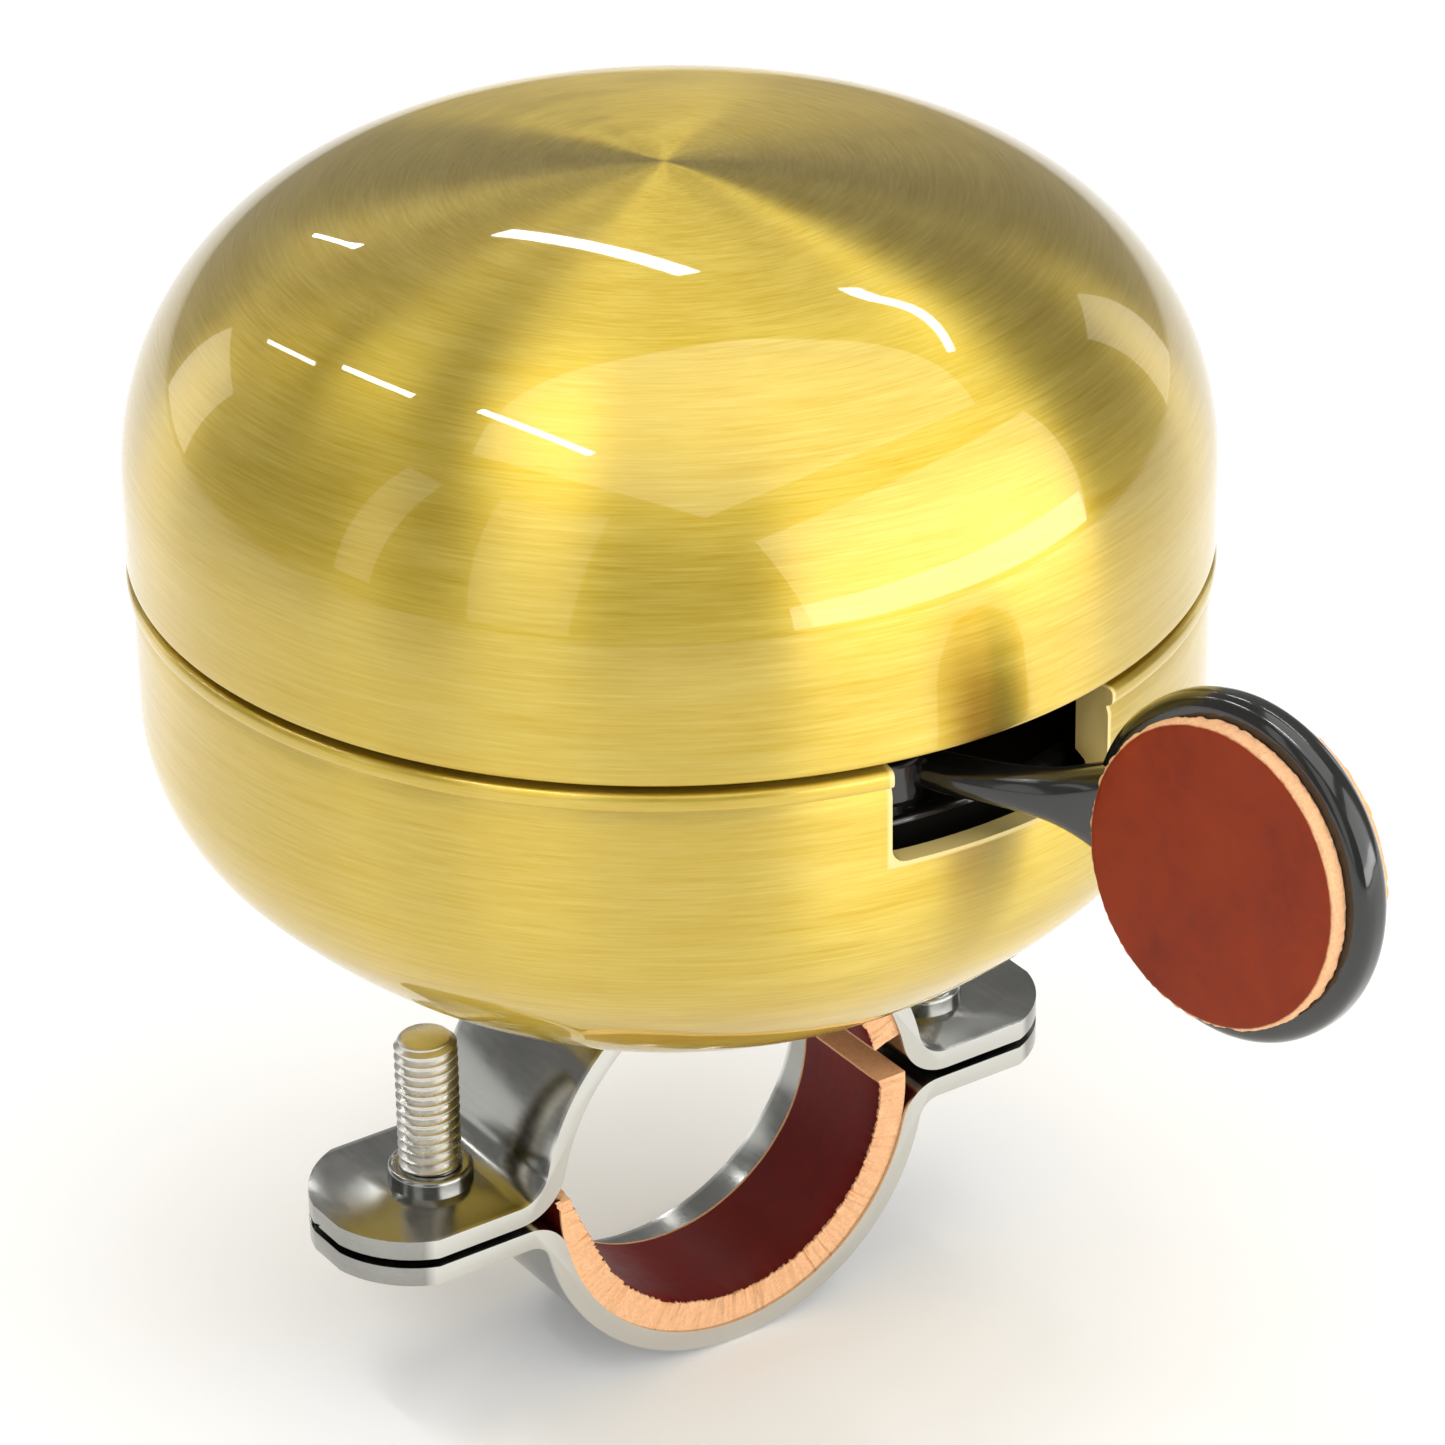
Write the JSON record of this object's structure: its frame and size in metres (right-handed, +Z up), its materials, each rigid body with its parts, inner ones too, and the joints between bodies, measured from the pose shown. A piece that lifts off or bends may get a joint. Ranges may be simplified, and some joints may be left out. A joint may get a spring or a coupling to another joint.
{
  "type": "bicycle bell",
  "caption": "Domed brass bicycle bell with a thumb lever, geared striker rotor and a leather-lined steel handlebar clamp.",
  "frame": {"origin": "centre of the handlebar bore in the clamp", "axes": "+Y along the handlebar, X along the clamp's flanges, +Z up the bell's axis"},
  "size_m": [0.066, 0.0903, 0.0796],
  "materials": {
    "lacquered_brass": "circumferentially brushed under clear gloss lacquer",
    "plain_brass": "turned",
    "bronze": "sintered",
    "zinc_steel": "zinc plated",
    "screw_steel": "polished stainless",
    "spring_steel": "drawn wire",
    "cast_zinc": "die cast",
    "polished_steel": "polished stainless strip",
    "black_plastic": "gloss moulded",
    "gear_plastic": "natural acetal",
    "black_rubber": "matte",
    "felt": "pressed felt",
    "saddle_leather": "smooth face, raw cut edge",
    "liner_leather": "smooth inner face, raw cut edge"
  },
  "bodies": {
    "bell_body": {"upper_gong": "lacquered_brass", "lower_gong": "lacquered_brass", "upper_gong_boss": "plain_brass", "upper_gong_lug": "plain_brass", "lower_gong_lug": "plain_brass", "rotor_bush": "bronze", "base_bolt": "zinc_steel", "centre_post": "zinc_steel", "tray_nut": "zinc_steel", "lock_washer": "zinc_steel", "post_lock_nut": "zinc_steel", "lever_pivot_pin": "zinc_steel", "idler_pin": "zinc_steel", "lever_clip": "spring_steel", "idler_clip": "spring_steel", "lever_return_spring": "spring_steel", "base_washer": "black_rubber", "gong_seat_washer": "felt", "mechanism_tray": "black_plastic", "upper_liner": "liner_leather", "lower_liner": "liner_leather", "upper_strap": "polished_steel", "lower_strap": "polished_steel", "clamp_screws": "screw_steel"},
    "lever": {"thumb_lever": "black_plastic", "lever_leather_front": "saddle_leather", "lever_leather_back": "saddle_leather"},
    "idler": {"idler_gear": "gear_plastic"},
    "rotor": {"rotor": "cast_zinc", "striker_pins": "zinc_steel"},
    "striker_a": {"striker_washer_a": "zinc_steel"},
    "striker_b": {"striker_washer_b": "zinc_steel"}
  },
  "joints": [
    {"name": "lever_swing", "type": "hinge", "parent": "bell_body", "child": "lever", "pos_m": [-0.0034, -0.0257, 0.0377], "axis": [0, 0, 1], "range_deg": [0, 20], "stiffness_Nm_per_rad": 0.1, "springref_deg": -17.19, "deforming": ["lever_return_spring"]},
    {"name": "idler_spin", "type": "hinge", "parent": "bell_body", "child": "idler", "pos_m": [-0.0138, -0.01076, 0.0377], "axis": [0, 0, 1], "range_deg": [-90, 5]},
    {"name": "rotor_spin", "type": "hinge", "parent": "bell_body", "child": "rotor", "pos_m": [0, 0, 0.04], "axis": [0, 0, 1], "range_deg": [-5, 185]},
    {"name": "striker_a_slide", "type": "slide", "parent": "rotor", "child": "striker_a", "axis": [0.9397, 0.342, 0], "range_m": [-0.0014, 0.0014]},
    {"name": "striker_b_slide", "type": "slide", "parent": "rotor", "child": "striker_b", "axis": [-0.9397, -0.342, 0], "range_m": [-0.0014, 0.0014]}
  ],
  "couplings": [
    {"joint": "idler_spin", "follows": "lever_swing", "ratio": -4.2},
    {"joint": "rotor_spin", "follows": "lever_swing", "ratio": 8.925}
  ]
}
